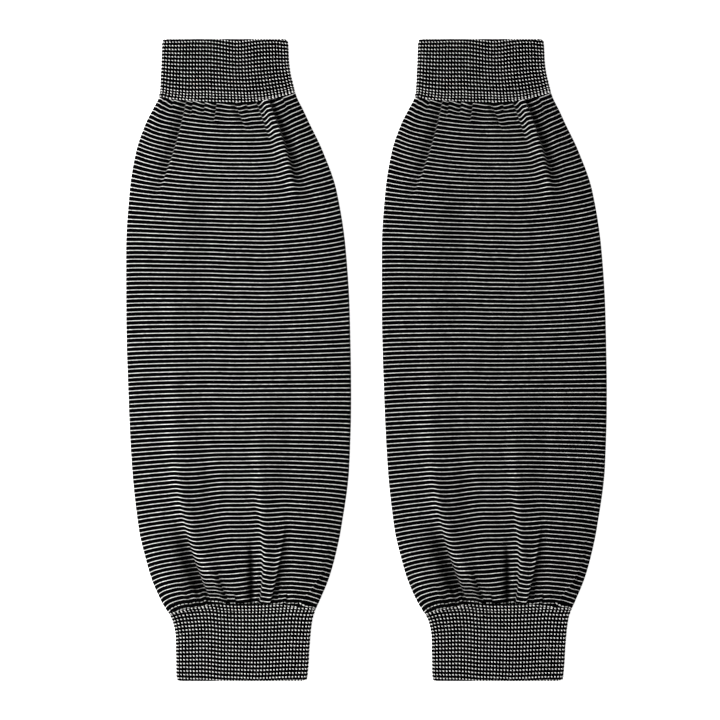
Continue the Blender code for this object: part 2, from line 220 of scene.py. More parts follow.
def clothSwell(across, down):
    rise = 0
    for swell in rowsOf(swells):
        turns = down / swell["long"] + across / swell["wide"] + swell["phase"]
        rise = rise + swell["height"] * np.sin(2 * pi * turns)
    return rise


crease = {
    "sharp": 0.15 * mm,  # how wide it is at its seam
    "softPower": 3,  # how late it widens
    "hold": 2.5,  # how late it fades
    "besideHold": 1.4,  # how late the drop beside it fades
    "lagStart": 0.1,  # what share of the lag it has at its seam
    "lagGrowth": 3.3,  # how much more at its end
    "lagPower": 1.5,
    "dark": 2.3 * mm,  # how deep the cloth lies where the shade painted in its folds is full
    "paintedRidgeLight": 0.38,  # how much painted light a ridge has
    "ridgeHeight": 1 * mm,  # how high a ridge is that has all this painted light
    "paintedCreaseShadow": 0.6 * mm,  # how wide the painted shadow along it is, a dark line painted where a crease steps
    "paintedShadowStep": 1.2 * mm,  # the step at which the painted shadow is full
    "bendHold": 1.8,  # how late a bend fades
    "bendStart": 0.12,  # the part of a bend that rises to its height
}


def foldLine(fold, down):
    # the parabola through a fold's three places
    places = [
        (fold["down"], fold["across"]),
        (fold["midDown"], fold["midAcross"]),
        (fold["endDown"], fold["endAcross"]),
    ]
    line = 0
    for place, value in places:
        for other, _ in places:
            if other != place:
                value = value * (down - other) / (place - other)
        line = line + value
    return line


def besideFold(fold, across, down):
    # how far along a fold a place is, from 0 to 1 at its end, and how far to its right
    part = np.clip((down - fold["down"]) / (fold["endDown"] - fold["down"]), 0, 1)
    return part, across - foldLine(fold, np.where(part < 1, down, fold["endDown"]))


def readBends(across, down):
    # the height of the long ridges and troughs
    rise = 0
    for bend in rowsOf(bends):
        part, aside = besideFold(bend, across, down)
        kept = fadeOut(part ** crease["bendHold"]) * (1 - fadeOut(part / crease["bendStart"]))
        rise = rise + bend["rise"] * bell(aside, bend["wide"]) * kept
    return rise


def toRight(aside, turn):
    return 0.5 + 0.5 * np.tanh(aside / turn)


def passOver(aside, turn, lag, growth):
    # how far the stripes have passed from the left side's level to the right side's
    if lag > 0:
        return 1 - np.exp(-turn * np.logaddexp(0, aside / turn) / (lag * growth))
    if lag < 0:
        return np.exp(turn * np.logaddexp(0, -aside / turn) / (lag * growth))
    return toRight(aside, turn)


def readFolds(across, down):
    # the height that the folds add, how far down they move the stripes, and how much shade is painted in
    # them, up to 1, and below 0 where light is painted on a ridge
    form, drop, paintedCreaseShadow = 0, 0, 0
    hold = crease["besideHold"]
    for fold in rowsOf(folds):
        part, aside = besideFold(fold, across, down)
        turn = crease["sharp"] + fold["soft"] * part ** crease["softPower"]
        side = toRight(aside, turn)
        onLeft = (1 - side) * fadeOut(-aside / fold["leftWide"])
        onRight = side * fadeOut(aside / fold["rightWide"])
        kept = fadeOut(part ** crease["hold"])
        form = form + kept * (onLeft * fold["leftRise"] + onRight * fold["rightRise"])
        step = min(abs(fold["rightRise"] - fold["leftRise"]) / crease["paintedShadowStep"], 1)
        paintedCreaseShadow = np.maximum(paintedCreaseShadow, kept * step * bell(aside, crease["paintedCreaseShadow"]))
        growth = crease["lagStart"] + crease["lagGrowth"] * part ** crease["lagPower"]
        side = passOver(aside, turn, fold["lag"], growth)
        onLeft = (1 - side) * fadeOut(np.maximum(-aside / fold["leftReach"], 0) ** hold)
        onRight = side * fadeOut(np.maximum(aside / fold["rightReach"], 0) ** hold)
        grown = 1
        if fold["grow"] > 0:
            grown = 1 - fadeOut(np.abs(down - fold["down"]) / fold["grow"])
        lowered = onLeft * fold["leftDrop"] + onRight * fold["rightDrop"]
        drop = drop + kept * grown * lowered
    form = form + readBends(across, down)
    # painted light on the ridges, and painted shade low in the folds and in a line along each crease
    # step
    paintedLight = crease["paintedRidgeLight"] * np.clip(form / crease["ridgeHeight"], 0, 1)
    dark = np.maximum(1 - fadeOut(-form / crease["dark"]), paintedCreaseShadow) - paintedLight
    return form + clothSwell(across, down), drop, dark


def dome(share):
    return 1 - (2 * share - 1) ** pair["domePower"]


def edgesOfCourse(mid):
    leftDown = mid - readSmooth(courses, "left", mid)
    rightDown = mid - readSmooth(courses, "right", mid)
    return readSmooth(outline, "left", leftDown), readSmooth(outline, "right", rightDown)


def courseDown(mid, across, left, right, table=courses):
    # how far down a course is where it has come this far across
    leftDown = mid - readSmooth(table, "left", mid) * (across / left) ** 2
    rightDown = mid - readSmooth(table, "right", mid) * (across / right) ** 2
    return np.where(across < 0, leftDown, rightDown)


def planRing(front, edgePoints, backPoints, wales, edgeWales):
    # The points round a flat tube, from the left end of its front layer, over the right edge and
    # back below: share of the width, reach and rise on the round edge folds, 1 on the front
    # layer, and the wale number.
    turn = np.linspace(0, 1, edgePoints + 2)[1:-1]
    back = np.linspace(1, 0, backPoints)
    flat = wales / 2 - 2 * edgeWales
    return {
        "share": np.concatenate([front, 1 + 0 * turn, back, 0 * turn]),
        "reach": np.concatenate([0 * front, np.sin(pi * turn), 0 * back, -np.sin(pi * turn)]),
        "rise": np.concatenate([1 + 0 * front, np.cos(pi * turn), -1 + 0 * back, -np.cos(pi * turn)]),
        "onFront": np.concatenate([1 + 0 * front, 0 * turn, 0 * back, 0 * turn]),
        "wale": np.concatenate([
            edgeWales + flat * front,
            wales / 2 - edgeWales + 2 * edgeWales * turn,
            wales / 2 + edgeWales + flat * (1 - back),
            wales - edgeWales + 2 * edgeWales * turn,
        ]),
    }


def placeRing(plan, mid, half, inset):
    # how far across and down a tube's points lie that are this far inside its outer face
    left, right = edgesOfCourse(mid)
    onFlat = -left + half + (left + right - 2 * half) * plan["share"]
    across = onFlat + (half - inset) * plan["reach"]
    return across, courseDown(mid, across, left, right)


def addObject(name, data):
    thing = bpy.data.objects.new(name, data)
    bpy.context.scene.collection.objects.link(thing)
    return thing


def closeShell(name, side, points, knit, bake, material):
    # A wall whose rows close on themselves both ways. points is rows x round x 3, and the maps
    # have one row and one column more, which close them.
    rows, count = points.shape[:2]
    here = np.arange(rows * count).reshape(rows, count)
    right = np.roll(here, -1, axis=1)
    below = np.roll(here, -1, axis=0)
    faces = np.stack([here, below, np.roll(right, -1, axis=0), right], axis=-1).reshape(-1, 4)
    mesh = bpy.data.meshes.new(name)
    place = points.reshape(-1, 3) + np.array([middleOf(side), 0, 0])
    mesh.from_pydata(place.tolist(), [], faces.tolist())
    for mapName, values in (("knit", knit), ("OFBake", bake)):
        around = [values[:-1, :-1], values[1:, :-1], values[1:, 1:], values[:-1, 1:]]
        layer = mesh.uv_layers.new(name=mapName)
        layer.uv.foreach_set("vector", np.stack(around, axis=2).reshape(-1))
    mesh.materials.append(material)
    mesh.shade_smooth()
    return addObject(name, mesh)


def closeMap(wale, number, wales):
    # the knit map, with its first column, once round, and its first row again at its end
    values = np.stack([np.broadcast_to(wale, number.shape), number], axis=-1)
    values = np.concatenate([values, values[:, :1] + np.array([wales, 0])], axis=1)
    return np.concatenate([values, values[:1]], axis=0)


class Wire:
    # a shader socket that can be added, multiplied and so on in Python
    def __init__(self, tree, socket=None):
        self.tree = tree
        self.socket = socket

    def node(self, kind, settings=None, inputs=None, output=0):
        made = self.tree.nodes.new(kind)
        for name, value in (settings or {}).items():
            setattr(made, name, value)
        for name, value in (inputs or {}).items():
            if isinstance(value, Wire):
                self.tree.links.new(value.socket, made.inputs[name])
            else:
                made.inputs[name].default_value = value
        return Wire(self.tree, made.outputs[output])

    def output(self, name):
        return Wire(self.tree, self.socket.node.outputs[name])

    def math(self, operation, *values):
        return self.node("ShaderNodeMath", {"operation": operation}, dict(enumerate(values)))

    def fract(self):
        return self.math("FRACT", self)

    def wave(self):
        # from 0 to 1 and back for each 1 of this wire
        return self.math("SINE", self * (2 * pi)) * 0.5 + 0.5

    def weaken(self, share):
        # 1 where this wire is 1, and less by the share where it is 0
        return (1 - share) + share * self

    def noise(self, scale, detail):
        # uneven values round 0 on the map that this wire is
        inputs = {"Vector": self, "Scale": scale, "Detail": detail}
        return self.node("ShaderNodeTexNoise", inputs=inputs) - 0.5

    def smoothStep(self, low, high):
        return self.node("ShaderNodeMapRange", {"interpolation_type": "SMOOTHSTEP"},
                         {"Value": self, "From Min": low, "From Max": high})

    def mixColour(self, first, second):
        # first where this wire is 0, second where it is 1
        return self.node("ShaderNodeMix", {"data_type": "RGBA"}, {0: self, 6: first, 7: second},
                         output=2)

    def shaded(self, amount):
        # this colour times an amount of light
        return self.node("ShaderNodeMix", {"data_type": "RGBA", "blend_type": "MULTIPLY"},
                         {0: 1.0, 6: self, 7: amount}, output=2)

    def __add__(self, other):
        return self.math("ADD", self, other)

    def __radd__(self, other):
        return self.math("ADD", other, self)

    def __sub__(self, other):
        return self.math("SUBTRACT", self, other)

    def __rsub__(self, other):
        return self.math("SUBTRACT", other, self)

    def __mul__(self, other):
        return self.math("MULTIPLY", self, other)

    def __rmul__(self, other):
        return self.math("MULTIPLY", other, self)

    def __truediv__(self, other):
        return self.math("DIVIDE", self, other)

    def __pow__(self, other):
        return self.math("POWER", self, other)

    def __abs__(self):
        return self.math("ABSOLUTE", self)


yarn = {
    "white": (0.80, 0.79, 0.77, 1),
    "whiteLoop": (0.97, 0.96, 0.94, 1),
    "black": (0.0005, 0.0005, 0.0007, 1),
    "surface": {
        "Roughness": 0.9,
        "Specular IOR Level": 0.008,
        "Sheen Weight": 0.001,
        "Sheen Roughness": 0.5,
    },
    "twistAlong": 2.5,  # turns of the plies along a loop's leg
    "twistRound": 2,  # plies
    "plyLight": 0.82,  # painted shade: the light left in the grooves between the plies
    "bump": {"Strength": 0.5, "Distance": 0.08 * mm},
}


def newMaterial(name, surface):
    # a material with what is the same all over set on its shader's own sockets
    material = bpy.data.materials.new(name)
    material.use_nodes = True
    shader = material.node_tree.nodes["Principled BSDF"]
    for socket, value in surface.items():
        shader.inputs[socket].default_value = value
    return material, shader


def newCloth(name):
    # a woolly material, its knit map, and the two numbers that the map gives
    material, shader = newMaterial(name, yarn["surface"])
    knit = Wire(material.node_tree).node("ShaderNodeUVMap", {"uv_map": "knit"})
    first = knit.node("ShaderNodeSeparateXYZ", inputs={"Vector": knit})
    return material, shader, knit, first, first.output("Y")


def plug(wire, shader, name):
    wire.tree.links.new(wire.socket, shader.inputs[name])


def plugBoth(shader, colour, height, bump):
    plug(colour, shader, "Base Color")
    plug(height.node("ShaderNodeBump", inputs={**bump, "Height": height}), shader, "Normal")


def roundCourses(course):
    # 1 along the middle of each knitted course, of which a stripe number has two, 0 between them
    return 1 - (2 * abs((course * 2 + 0.5).fract() - 0.5)) ** 2


jersey = {
    "wales": 164,
    "edgeWales": 1.45,  # half as many as run round an edge
    "frontPoints": 290,
    "edgePoints": 9,
    "backPoints": 28,
    "fineRows": 0.85 * mm,
    "coarseRows": 1.8 * mm,
    "coarseFrom": 0.092,
    "coarseTo": 0.308,
    "innerRows": 24,
    "wall": 1.1 * mm,
    "lowest": 2.6 * mm,
    "highest": 7.8 * mm,
    "bakeLeft": 0.01,
    "bakeWidth": 0.96,
    "bakeLow": 0.02,
    "bakeFirst": 2,
    "bakeStripe": 8 / 1024,
    "whiteShare": 0.112,  # how much of a stripe number is white
    "softness": 0.03,
    "zigzag": 0.05,
    "fuzz": 0.10,
    "fuzzNoise": (2.3, 2.0),  # scale and detail
    "widthSpread": 0.10,
    "widthNoise": (1.1, 3.0),
    "unevenness": 0.9,
    "shadeNoise": (0.35, 3.0),
    "wholeStripes": (3, 121),  # the white ones beyond these are rows of dots
    "wholeEdge": 0.1,
    "betweenDots": (0.28, 0.38),
    "courseRelief": 0.6,  # how much of the relief the courses have, and the loops' legs the rest
    "plyWales": 5,
    "plyStripes": 9,
    "plyRelief": 0.1,
    # painted shade between the courses and the loops' legs
    "paintedReliefShade": 0.3,
    # painted shade between the plies
    "paintedPlyShade": 0.06,
    # painted shade in the folds, and painted light on their ridges
    "paintedFoldShade": 0.85,
    "bump": {"Strength": 0.6, "Distance": 0.35 * mm},
}


def makeJerseyMaterial():
    material, shader, knit, wale, stripe = newCloth("stripedJersey")
    aside = abs(wale.fract() - 0.5)
    fuzz = knit.noise(*jersey["fuzzNoise"]) * jersey["fuzz"]
    course = stripe + aside * jersey["zigzag"] + fuzz
    spread = knit.noise(*jersey["widthNoise"]) * jersey["widthSpread"]
    fromWhite = abs(course.fract() - 0.5) + spread
    half, soft = jersey["whiteShare"] / 2, jersey["softness"]
    white = 1 - fromWhite.smoothStep(half - soft, half + soft)
    (first, last), edge = jersey["wholeStripes"], jersey["wholeEdge"]
    begun = stripe.smoothStep(first - edge, first + edge)
    whole = begun * (1 - stripe.smoothStep(last - edge, last + edge))
    betweenDots = abs((wale / 2).fract() - 0.5).smoothStep(*jersey["betweenDots"])
    white = white * (1 - betweenDots * (1 - whole))
    roundLeg = 1 - (4 * abs(aside - 0.25)) ** 2
    share = jersey["courseRelief"]
    relief = roundCourses(course) * share + roundLeg * (1 - share)
    ply = (wale * jersey["plyWales"] + stripe * jersey["plyStripes"]).wave()
    uneven = 1 + jersey["unevenness"] * knit.noise(*jersey["shadeNoise"])
    # painted shade in the folds and painted light on their ridges, from the body's dark attribute
    dark = knit.node("ShaderNodeAttribute", {"attribute_name": "dark"}).output("Fac")
    # painted shade between the courses, the legs and the plies, times a random mottle of tone and the
    # painted fold shade and ridge light
    paintedShadeAndMottle = relief.weaken(jersey["paintedReliefShade"]) * ply.weaken(jersey["paintedPlyShade"])
    paintedShadeAndMottle = paintedShadeAndMottle * uneven * (1 - jersey["paintedFoldShade"] * dark)
    colour = white.mixColour(yarn["black"], yarn["white"])
    plugBoth(shader, colour.shaded(paintedShadeAndMottle), relief + jersey["plyRelief"] * ply, jersey["bump"])
    return material


def stripeNumber(across, down, drop):
    # the stripe at a place: its course is followed back to the centre line
    left = readSmooth(outline, "left", down)
    right = readSmooth(outline, "right", down)
    mid = down
    for _ in range(pair["rounds"]):
        mid = down + (mid - courseDown(mid, across, left, right, stripeCourses))
    onLeft = across < 0
    beside = np.where(onLeft, readSmooth(shoulders, "left", down), readSmooth(shoulders, "right", down))
    toEdge = np.minimum(np.abs(across) / np.where(onLeft, left, right), 1)
    lift = beside * (1 - bell(across, shoulder["middle"])) * (1 - toEdge ** shoulder["edgePower"])
    return readSmooth(stripes, "number", mid - drop + lift) / mm


def bodyRows():
    # where the rows of a body cross the centre line, closer where the folds are
    upper = pair["upperSeam"] + pair["seamGap"] / 2
    lower = pair["lowerSeam"] - pair["seamGap"] / 2
    fine = jersey["fineRows"]
    return np.concatenate([
        np.arange(upper, jersey["coarseFrom"], fine),
        np.arange(jersey["coarseFrom"], jersey["coarseTo"], jersey["coarseRows"]),
        np.arange(jersey["coarseTo"], lower - fine / 2, fine),
        [lower],
    ])


def makeBody(side, material):
    rows = bodyRows()
    chosen = np.linspace(0, len(rows) - 1, jersey["innerRows"]).round().astype(int)
    inner = rows[np.unique(chosen)][::-1]
    front = np.linspace(0, 1, jersey["frontPoints"])
    plan = planRing(front, jersey["edgePoints"], jersey["backPoints"], jersey["wales"],
                    jersey["edgeWales"])
    mid = np.concatenate([rows, inner])[:, None]
    inset = np.concatenate([0 * rows, 0 * inner + jersey["wall"]])[:, None]
    half = readSmooth(lofts, "edge", mid) / 2
    across, down = placeRing(plan, mid, half, inset)
    rise, drop, dark = readFolds(across, down)
    swell = (readSmooth(lofts, "crown", mid) + rise) * dome(plan["share"])
    top = np.clip(2 * half + swell, jersey["lowest"], jersey["highest"])
    height = half + (half - inset) * plan["rise"] + (top - 2 * half) * plan["onFront"]
    onTop = plan["onFront"] * dome(plan["share"])
    knit = closeMap(plan["wale"], stripeNumber(across, down, drop * onTop), jersey["wales"])
    bake = np.stack([
        jersey["bakeLeft"] + knit[..., 0] / jersey["wales"] * jersey["bakeWidth"],
        jersey["bakeLow"] + (knit[..., 1] - jersey["bakeFirst"]) * jersey["bakeStripe"],
    ], axis=-1)
    points = np.stack([across, pair["length"] / 2 - down, height], axis=-1)
    piece = closeShell(side + "StripedBody", side, points, knit, bake, material)
    # the shade painted in the folds and the light painted on their ridges
    layer = piece.data.attributes.new("dark", "FLOAT", "POINT")
    layer.data.foreach_set("value", (dark * onTop).reshape(-1))
    print(piece.name, "rows", len(mid), "round", len(plan["share"]), "faces", len(piece.data.polygons))
    return piece


# Rib cuffs: a ribbed wall with a round rim, and the knit loops of every rib standing on it.
cuff = {
    "thickness": 4.7 * mm,
    "crown": 0.3 * mm,
    "wall": 2.1 * mm,
    "frontRibs": 39,
    "edgeRibs": 2,
    "ribHeight": 0.55 * mm,
    "inRib": (0, 0.22, 0.5, 0.78),  # where a rib on the front has its points
    "crestPower": 0.7,  # the less, the wider its crest
    "ribbedDown": -0.75,  # the rise on an edge fold at which the ribs end
    "edgePoints": 8,  # for each rib on an edge
    "backPoints": 40,
    "rows": 26,
    "rimRows": 5,
    "innerRows": 6,
    "bakeLeft": 0.01,
    "bakeWidth": 0.97,
    "bakeMiddle": 0.5,
    "bakeHeight": 0.9,
    "zigzag": 0.25,
    "fuzz": 0.12,
    "fuzzNoise": (3.0, 2.0),
    "dotEdge": (0.14, 0.22),
    "ribEdge": (0.15, 0.45),
    "courseRelief": 0.5,
    # painted shade in the furrows between the ribs and between the courses
    "paintedReliefShade": 0.6,
    "bump": {"Strength": 0.6, "Distance": 0.4 * mm},
    "loopHeight": 0.35 * mm,  # how far inside the outline the ribs' crests are, which carry the loops
    "seed": 11,
    "rowRounds": 4,  # steps that find how far from the rim each loop of a row is
    "leanSpread": 0.10,
    "sizeSpread": 0.07,
    "whiteStretch": 1.0,
    "whiteRoom": 0.2 * mm,  # how far from the seam the last white loops stay
    "pullBack": 1.3 * mm,  # those up to this far beyond are pulled back
    "blackRoom": 0.28,  # as a share of the pitch
    "rimReach": 0.7,  # how far round the rim there are loops
}

# Where the white rows cross the centre line, from the rim. The last three are the tight band at the
# seam, whose loops have sizes of their own.
cuffs = {
    "upperCuff": {
        "node": "_upper_cuff",
        "rim": 0.0, "seam": pair["upperSeam"],
        "firstRow": 2.1 * mm, "rowPitch": 2.372 * mm, "rowCount": 15,
        "tightRows": (37.1 * mm, 38.8 * mm, 40.9 * mm),
        "tightSizes": (0.95, 0.92, 1.05),
    },
    "lowerCuff": {
        "node": "_lower_cuff",
        "rim": pair["length"], "seam": pair["lowerSeam"],
        "firstRow": 0.0, "rowPitch": 2.505 * mm, "rowCount": 18,
        "tightRows": (45.0 * mm, 46.6 * mm, 48.7 * mm),
        "tightSizes": (0.7, 1.0, 1.0),
    },
}

# how far the rows of the cuffs lie from their level on the centre line, towards the upper rim
upperLift = makeTable(
    "across rim seam",
    (-50, 2.2, 3.6), (-45, 2.3, 2.2), (-37, 2.4, 1.0), (-30, 2.7, 0.4), (-20, 2.6, 0.5),
    (-14, 2.1, 0.15), (-9, 1.2, 0.15), (-4, 0.3, 0.05), (0, 0, 0), (5, 0.5, -0.3), (10, 1.35, -0.2),
    (15, 2.0, 0), (20, 2.25, 0.7), (25, 2.2, 1.75), (30, 1.4, 3.0), (36, 0.8, 5.3),
)
lowerLift = makeTable(
    "across rim seam",
    (-46, 2.3, -3.2), (-41, 2.2, -1.4), (-36, 1.9, 0.1), (-30, 1.7, 0.8), (-24, 1.65, 1.3),
    (-18, 1.2, 1.4), (-10, 0.4, 0.5), (0, 0, 0), (6, -0.3, 0), (12, -0.5, 0.1), (20, -0.3, 0.4),
    (28, 0.1, 0.8), (35, 0.3, 1.1), (46, 0.4, 0.7),
)


def makeRibMaterial():
    material, shader, knit, rib, row = newCloth("stripedRib")
    aside = abs(rib.fract() - 0.5)
    course = row + aside * cuff["zigzag"] + knit.noise(*cuff["fuzzNoise"]) * cuff["fuzz"]
    fromWhite = abs(course.fract() - 0.5)
    dotEdge = cuff["dotEdge"]
    white = (1 - fromWhite.smoothStep(*dotEdge)) * (1 - aside.smoothStep(*dotEdge))
    share = cuff["courseRelief"]
    onRib = 1 - aside.smoothStep(*cuff["ribEdge"])
    relief = roundCourses(course) * share + onRib * (1 - share)
    colour = white.mixColour(yarn["black"], yarn["white"])
    # painted shade where the relief is low, in the furrows and between the courses
    plugBoth(shader, colour.shaded(relief.weaken(cuff["paintedReliefShade"])), relief, cuff["bump"])
    return material


def makeYarnMaterial(name, colour):
    # plies that wind round the yarn, with painted shade in the grooves between them
    material, shader, _, along, around = newCloth(name)
    ply = (along * yarn["twistAlong"] + around * yarn["twistRound"]).wave()
    dark = tuple(yarn["plyLight"] * part for part in colour[:3]) + (1,)
    plugBoth(shader, ply.mixColour(dark, colour), ply, yarn["bump"])
    return material


# One knit loop as it shows on a rib: two legs that meet at its foot, in millimetres. It lies in x
# and y, and z stands off the rib. The left leg lies on top, so that a white loop shows as a
# slanting dot.
stitches = {
    "white": [
        {"path": [(-0.48, 0.30, -0.22), (-0.29, 0.16, 0.38), (0.11, -0.13, 0.44), (0.35, -0.30, -0.06)],
         "radii": [0.13, 0.26, 0.26, 0.13]},
        {"path": [(0.38, 0.26, -0.44), (0.34, 0.12, -0.04), (0.30, -0.06, 0.00), (0.26, -0.22, -0.24)],
         "radii": [0.07, 0.10, 0.10, 0.07]},
    ],
    "black": [
        {"path": [(-0.52, 0.80, -0.30), (-0.40, 0.32, 0.20), (-0.08, -0.28, 0.24), (0.12, -0.80, -0.20)],
         "radii": [0.24, 0.38, 0.36, 0.22]},
        {"path": [(0.56, 0.74, -0.45), (0.48, 0.30, -0.02), (0.32, -0.20, 0.00), (0.16, -0.70, -0.30)],
         "radii": [0.20, 0.32, 0.30, 0.18]},
    ],
}

stitch = {
    "sides": 5,
    "ribWidth": 2.0 * mm,  # the rib and the course that the loops are drawn for
    "courseHeight": 1.19 * mm,
    "bakeSize": (0.44, 0.94),
    "bakeLow": 0.03,
    "bakeLeft": {"white": 0.03, "black": 0.53},
}


def makeStitch(colour, material):
    sides = stitch["sides"]
    verts, faces, maps = [], [], []
    for leg in stitches[colour]:
        path = np.array(leg["path"])
        steps = len(path) - 1
        ahead = np.gradient(path, axis=0)
        ahead /= np.linalg.norm(ahead, axis=1)[:, None]
        out = np.cross(np.array([0, 0, 1.0]), ahead)
        out /= np.linalg.norm(out, axis=1)[:, None]
        up = np.cross(ahead, out)
        start = len(verts)
        for i, radius in enumerate(leg["radii"]):
            for j in range(sides):
                angle = 2 * pi * j / sides + pi / 2
                verts.append(path[i] + radius * (np.cos(angle) * out[i] + np.sin(angle) * up[i]))
        for i in range(steps):
            for j in range(sides):
                k = (j + 1) % sides
                near, far = start + i * sides, start + (i + 1) * sides
                faces.append((near + j, near + k, far + k, far + j))
                maps.append([(i / steps, j / sides), (i / steps, (j + 1) / sides),
                             ((i + 1) / steps, (j + 1) / sides), ((i + 1) / steps, j / sides)])
        for first, end, order in ((start, 0, list(reversed(range(sides)))),
                                  (start + steps * sides, 1, list(range(sides)))):
            faces.append(tuple(first + j for j in order))
            maps.append([(end, j / sides) for j in order])
    mesh = bpy.data.meshes.new(colour + "Loop")
    mesh.from_pydata((np.array(verts) * mm).tolist(), [], faces)
    flat = np.array([corner for face in maps for corner in face])
    corner = np.array([stitch["bakeLeft"][colour], stitch["bakeLow"]])
    for mapName, values in (("knit", flat), ("OFBake", flat * np.array(stitch["bakeSize"]) + corner)):
        mesh.uv_layers.new(name=mapName).uv.foreach_set("vector", values.reshape(-1))
    mesh.materials.append(material)
    mesh.shade_smooth()
    return bpy.data.objects.new(mesh.name, mesh)


def makeStitchTree():
    # One loop on each point, stood up and turned by the point's own directions, in white or
    # black yarn.
    tree = bpy.data.node_groups.new("ribLoops", "GeometryNodeTree")
    nodes, links = tree.nodes, tree.links
    sockets = [
        ("Geometry", "Geometry"), ("White loop", "Object"), ("Black loop", "Object"),
        ("White yarn", "Material"), ("Black yarn", "Material"), ("Loop size", "Float"),
    ]
    for name, kind in sockets:
        tree.interface.new_socket(name, in_out="INPUT", socket_type="NodeSocket" + kind)
    tree.interface.new_socket("Geometry", in_out="OUTPUT", socket_type="NodeSocketGeometry")
    given = nodes.new("NodeGroupInput")
    result = nodes.new("NodeGroupOutput")

    def attribute(name, dataType):
        node = nodes.new("GeometryNodeInputNamedAttribute")
        node.data_type = dataType
        node.inputs["Name"].default_value = name
        return node.outputs["Attribute"]

    turn = nodes.new("FunctionNodeAxesToRotation")
    turn.primary_axis = "Z"
    turn.secondary_axis = "Y"
    links.new(attribute("outward", "FLOAT_VECTOR"), turn.inputs["Primary Axis"])
    links.new(attribute("along", "FLOAT_VECTOR"), turn.inputs["Secondary Axis"])
    size = nodes.new("ShaderNodeVectorMath")
    size.operation = "SCALE"
    links.new(attribute("size", "FLOAT_VECTOR"), size.inputs[0])
    links.new(given.outputs["Loop size"], size.inputs["Scale"])
    isWhite = attribute("white", "BOOLEAN")
    isBlack = nodes.new("FunctionNodeBooleanMath")
    isBlack.operation = "NOT"
    links.new(isWhite, isBlack.inputs[0])
    join = nodes.new("GeometryNodeJoinGeometry")
    for colour, chosen in (("White", isWhite), ("Black", isBlack.outputs[0])):
        loop = nodes.new("GeometryNodeObjectInfo")
        links.new(given.outputs[colour + " loop"], loop.inputs["Object"])
        place = nodes.new("GeometryNodeInstanceOnPoints")
        links.new(given.outputs["Geometry"], place.inputs["Points"])
        links.new(chosen, place.inputs["Selection"])
        links.new(loop.outputs["Geometry"], place.inputs["Instance"])
        links.new(turn.outputs["Rotation"], place.inputs["Rotation"])
        links.new(size.outputs["Vector"], place.inputs["Scale"])
        real = nodes.new("GeometryNodeRealizeInstances")
        links.new(place.outputs["Instances"], real.inputs["Geometry"])
        paint = nodes.new("GeometryNodeSetMaterial")
        links.new(real.outputs["Geometry"], paint.inputs["Geometry"])
        links.new(given.outputs[colour + " yarn"], paint.inputs["Material"])
        links.new(paint.outputs["Geometry"], join.inputs["Geometry"])
    links.new(join.outputs["Geometry"], result.inputs["Geometry"])
    return tree


def cuffSpan(name):
    # whether a cuff's seam is below its rim, as 1 or -1, and how far apart they are
    span = cuffs[name]["seam"] - cuffs[name]["rim"]
    return np.sign(span), abs(span)


def rowLevels(settings):
    # how far the white rows are from the rim on the centre line, the first one beyond it
    regular = settings["firstRow"] + settings["rowPitch"] * np.arange(-1, settings["rowCount"])
    return np.concatenate([regular, settings["tightRows"]])


def listRows(settings):
    # every row of loops: its level, how far it is to the next, if it is white, and how large
    levels = rowLevels(settings)
    tight = list(settings["tightSizes"])
    sizes = [1] * (len(levels) - len(tight)) + tight
    pitches = np.gradient(levels)
    rows = [(level, pitch, True, size) for level, pitch, size in zip(levels, pitches, sizes)]
    between = (levels[:-1] + levels[1:]) / 2
    rows += [(level, pitch, False, 1) for level, pitch in zip(between, np.diff(levels))]
    pitch = settings["rowPitch"]
    return rows + [(levels[0] - pitch / 2, pitch, False, 1)]


def cuffLift(name, across, fromRim):
    # how far a row has come towards the rim
    rows, up = (upperLift, 1) if name == "upperCuff" else (lowerLift, -1)
    part = np.clip(fromRim / cuffSpan(name)[1], 0, 1)
    lift = readSmooth(rows, "rim", across) * (1 - part) + readSmooth(rows, "seam", across) * part
    return up * lift


def cuffEdges(name, share, angle, fromRim):
    # where the course through a place on a cuff meets the two edges, and how far across it is
    down = cuffs[name]["rim"] + cuffSpan(name)[0] * np.maximum(fromRim, 0)
    half = cuff["thickness"] / 2
    mid = down
    for _ in range(pair["rounds"]):
        left, right = edgesOfCourse(mid)
        across = -left + half + (left + right - 2 * half) * share + half * np.sin(angle)
        mid = down + (mid - courseDown(mid, across, left, right))
    return left, right, across


def placeOnCuff(name, share, angle, fromRim, lift):
    # A place on a cuff's outer face and the directions there. share is along the front layer, and
    # angle is from the top of an edge fold, to the right if positive. fromRim below the rounding
    # runs over the rim. lift stands off it.
    left, right, _ = cuffEdges(name, share, angle, fromRim)
    half = cuff["thickness"] / 2
    radius = cuff["wall"] / 2
    over = np.clip((radius - fromRim) / radius, 0, None)
    straight = np.maximum(fromRim, radius)
    reach, rise = np.sin(angle), np.cos(angle)
    onFlat = -left + half + (left + right - 2 * half) * share
    across = onFlat + (half + lift * np.cos(over)) * reach
    swell = cuff["crown"] * dome(share) * (angle == 0)
    rimDrop = radius * (1 - np.cos(over)) - lift * (np.cos(over) - 1)
    height = half + (half + lift) * rise + swell - rimDrop * rise
    toSeam, _ = cuffSpan(name)
    down = cuffs[name]["rim"] + toSeam * (straight - (radius + lift) * np.sin(over))
    point = np.stack([across, pair["length"] / 2 - down, height], axis=-1)
    outward = np.stack([reach * np.cos(over), toSeam * np.sin(over), rise * np.cos(over)], axis=-1)
    along = np.stack([0 * reach, toSeam * np.cos(over), -np.sin(over)], axis=-1) * toSeam
    return point, outward, along


def cuffName(side, name):
    return side + name[0].upper() + name[1:]


